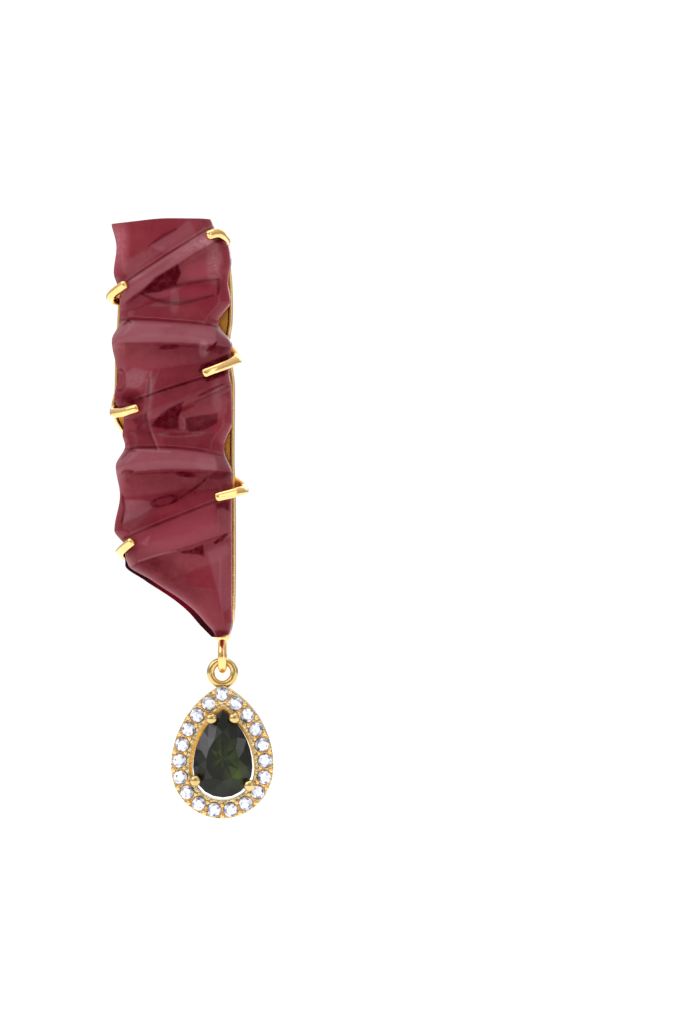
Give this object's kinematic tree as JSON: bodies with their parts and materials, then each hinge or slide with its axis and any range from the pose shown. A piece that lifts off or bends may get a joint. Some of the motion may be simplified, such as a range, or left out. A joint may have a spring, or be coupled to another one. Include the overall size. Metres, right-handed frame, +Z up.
{
  "type": "drop earring",
  "caption": "Drop earring for a pierced ear: a long carved stone in a gold claw setting, with a pear-shaped cluster swinging below it on a link.",
  "frame": {"origin": "root of the ear post, on the back face of the stone's setting, where it pins on to the ear lobe", "axes": "+Z up along the hanging earring, +Y out of its back along the ear post, +X to the right as seen from the front"},
  "size_m": [0.017, 0.0176, 0.0601],
  "materials": {
    "carved_stone": "polished, deep wine red, cloudy and glossy",
    "gold": "polished yellow gold",
    "pear_stone": "polished, very dark olive green",
    "clear_stone": "polished, colourless"
  },
  "bodies": {
    "top": {"carved_stone": "carved_stone", "stone_setting": "gold"},
    "drop": {"halo_setting": "gold", "pear_stone": "pear_stone", "accent_stone_01": "clear_stone", "accent_stone_02": "clear_stone", "accent_stone_03": "clear_stone", "accent_stone_04": "clear_stone", "accent_stone_05": "clear_stone", "accent_stone_06": "clear_stone", "accent_stone_07": "clear_stone", "accent_stone_08": "clear_stone", "accent_stone_09": "clear_stone", "accent_stone_10": "clear_stone", "accent_stone_11": "clear_stone", "accent_stone_12": "clear_stone", "accent_stone_13": "clear_stone", "accent_stone_14": "clear_stone", "accent_stone_15": "clear_stone", "accent_stone_16": "clear_stone", "accent_stone_17": "clear_stone", "accent_stone_18": "clear_stone", "accent_stone_19": "clear_stone"}
  },
  "joints": [
    {"name": "drop_swing", "type": "hinge", "parent": "top", "child": "drop", "pos_m": [0.00385, -0.00145, -0.03907], "axis": [1, 0, 0], "range_deg": [-115, 115]}
  ]
}
